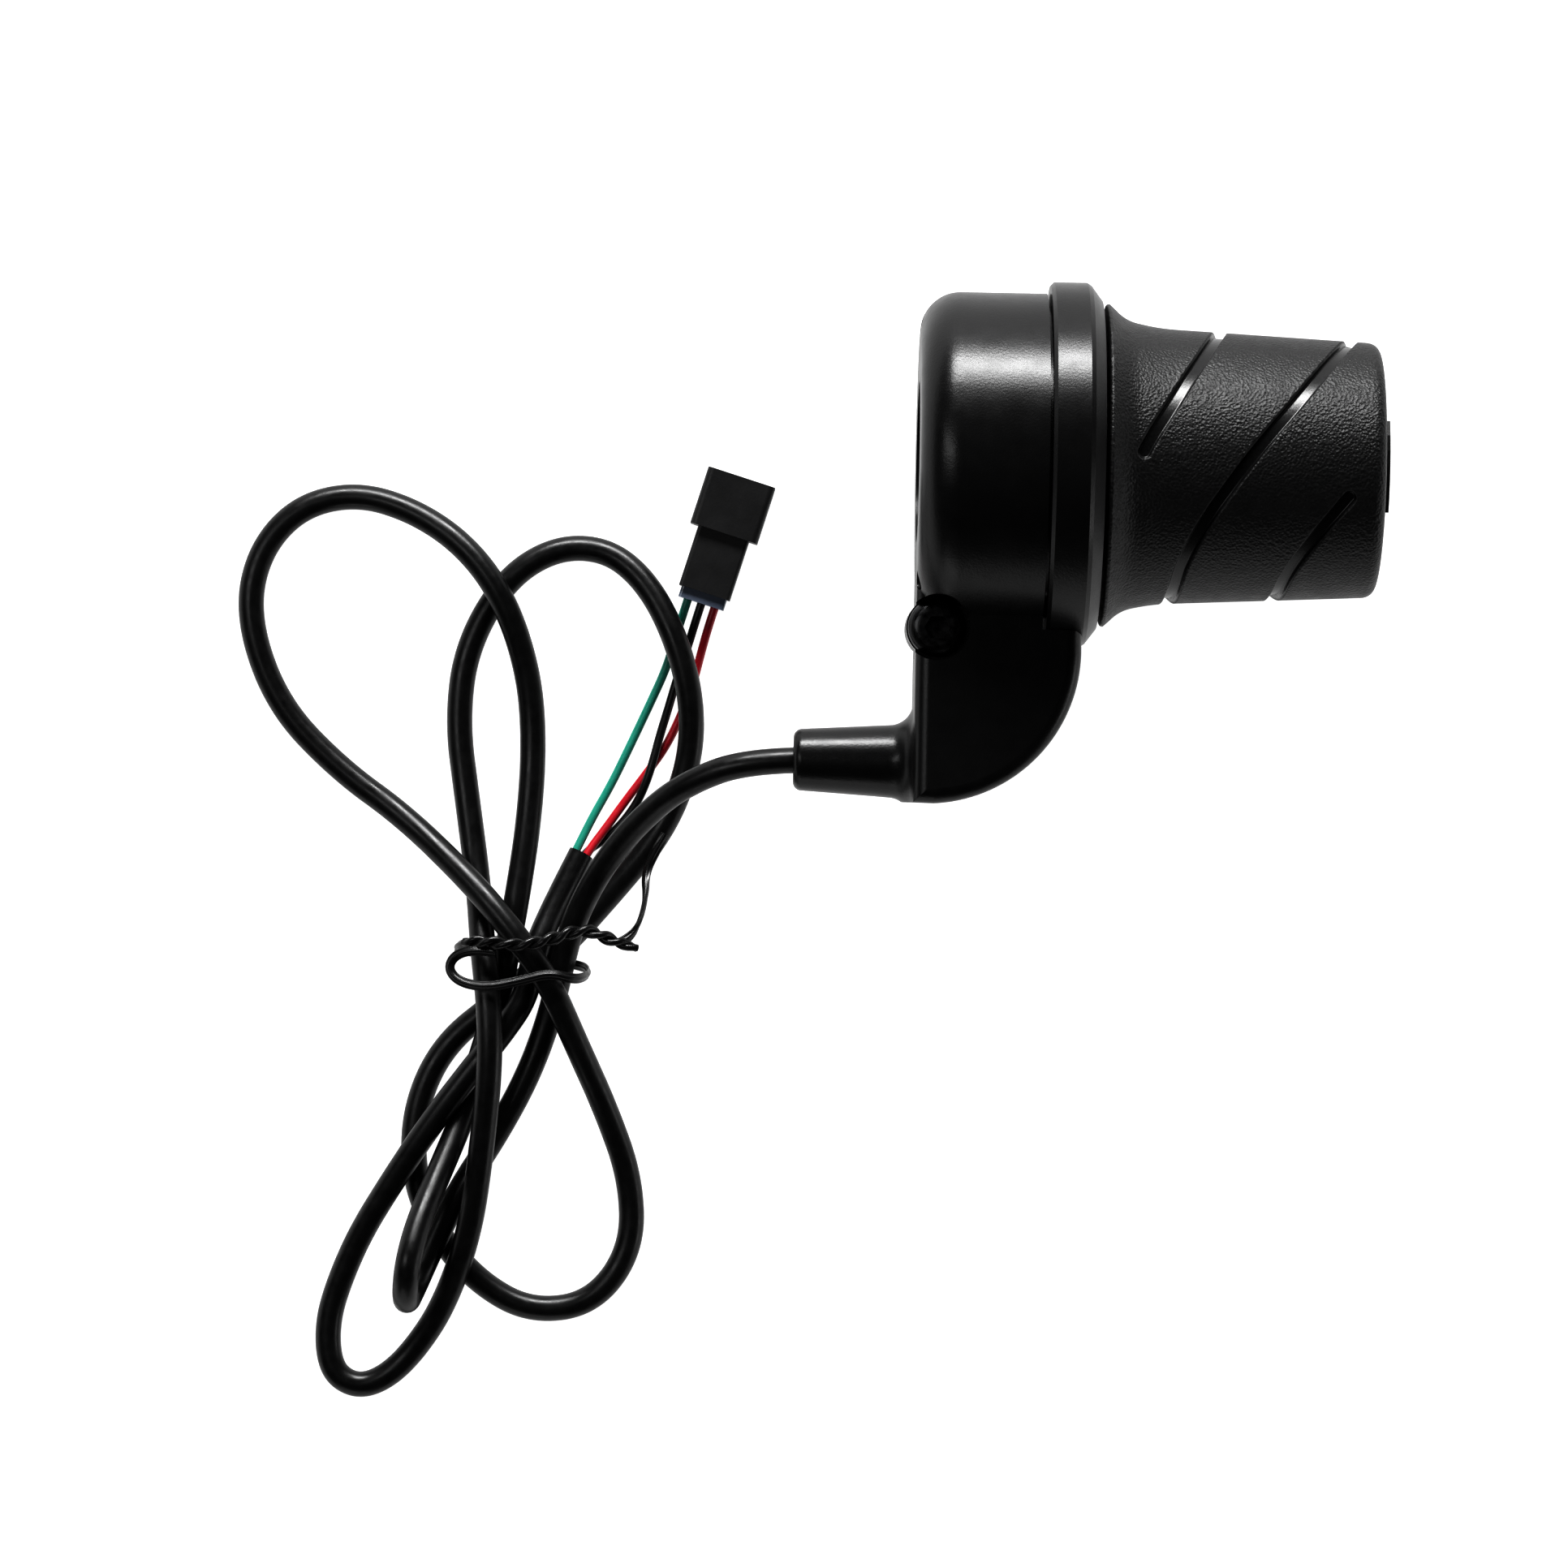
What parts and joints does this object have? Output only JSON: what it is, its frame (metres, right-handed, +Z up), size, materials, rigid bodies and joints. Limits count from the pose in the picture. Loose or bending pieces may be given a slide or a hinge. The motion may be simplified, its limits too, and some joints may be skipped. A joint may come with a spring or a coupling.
{
  "type": "twist throttle",
  "caption": "Half-grip twist throttle with a bar clamp, a spring-return rubber grip, and a cable tied in loose loops that ends in bare wires and a small connector.",
  "frame": {"origin": "on the handlebar axis at the outer face of the housing", "axes": "+X along the handlebar axis towards the grip's free end, +Z up from the surface it lies on, -Y along the arm to the cable boot"},
  "size_m": [0.1594, 0.1579, 0.0502],
  "materials": {
    "housing_abs": "semi-gloss, fine texture",
    "black_steel": "black oxide",
    "zinc_steel": "zinc plated",
    "spring_steel": "drawn",
    "chip_epoxy": "matt",
    "board_green": "satin",
    "wire_green": "satin",
    "wire_red": "satin",
    "wire_black": "satin",
    "cable_pvc": "semi-gloss",
    "connector_nylon": "satin",
    "retainer_grey": "gloss",
    "tinned_brass": "tinned",
    "tie_plastic": "gloss",
    "sleeve_nylon": "matt",
    "grip_rubber": "matt, fine grain",
    "magnet_ferrite": "matt"
  },
  "bodies": {
    "housing": {"main_housing": "housing_abs", "outer_cover": "housing_abs", "arm_cover": "housing_abs", "clamp_screw": "black_steel", "clamp_nut": "zinc_steel", "cover_screws": "zinc_steel", "return_spring": "spring_steel", "hall_sensor": "chip_epoxy", "sensor_board": "board_green", "lead_green": "wire_green", "lead_red": "wire_red", "lead_black": "wire_black", "throttle_cable": "cable_pvc", "wire_green": "wire_green", "wire_red": "wire_red", "wire_black": "wire_black", "connector_housing": "connector_nylon", "connector_retainer": "retainer_grey", "connector_pins": "tinned_brass", "twist_tie": "tie_plastic"},
    "twist_grip": {"rotor_sleeve": "sleeve_nylon", "grip_rubber": "grip_rubber", "magnet_rest": "magnet_ferrite", "magnet_full": "magnet_ferrite"}
  },
  "joints": [
    {"name": "grip_twist", "type": "hinge", "parent": "housing", "child": "twist_grip", "pos_m": [0, 0, 0], "axis": [1, 0, 0], "range_deg": [0, 70], "stiffness_Nm_per_rad": 0.12, "springref_deg": -34.38, "deforming": ["return_spring"]}
  ]
}
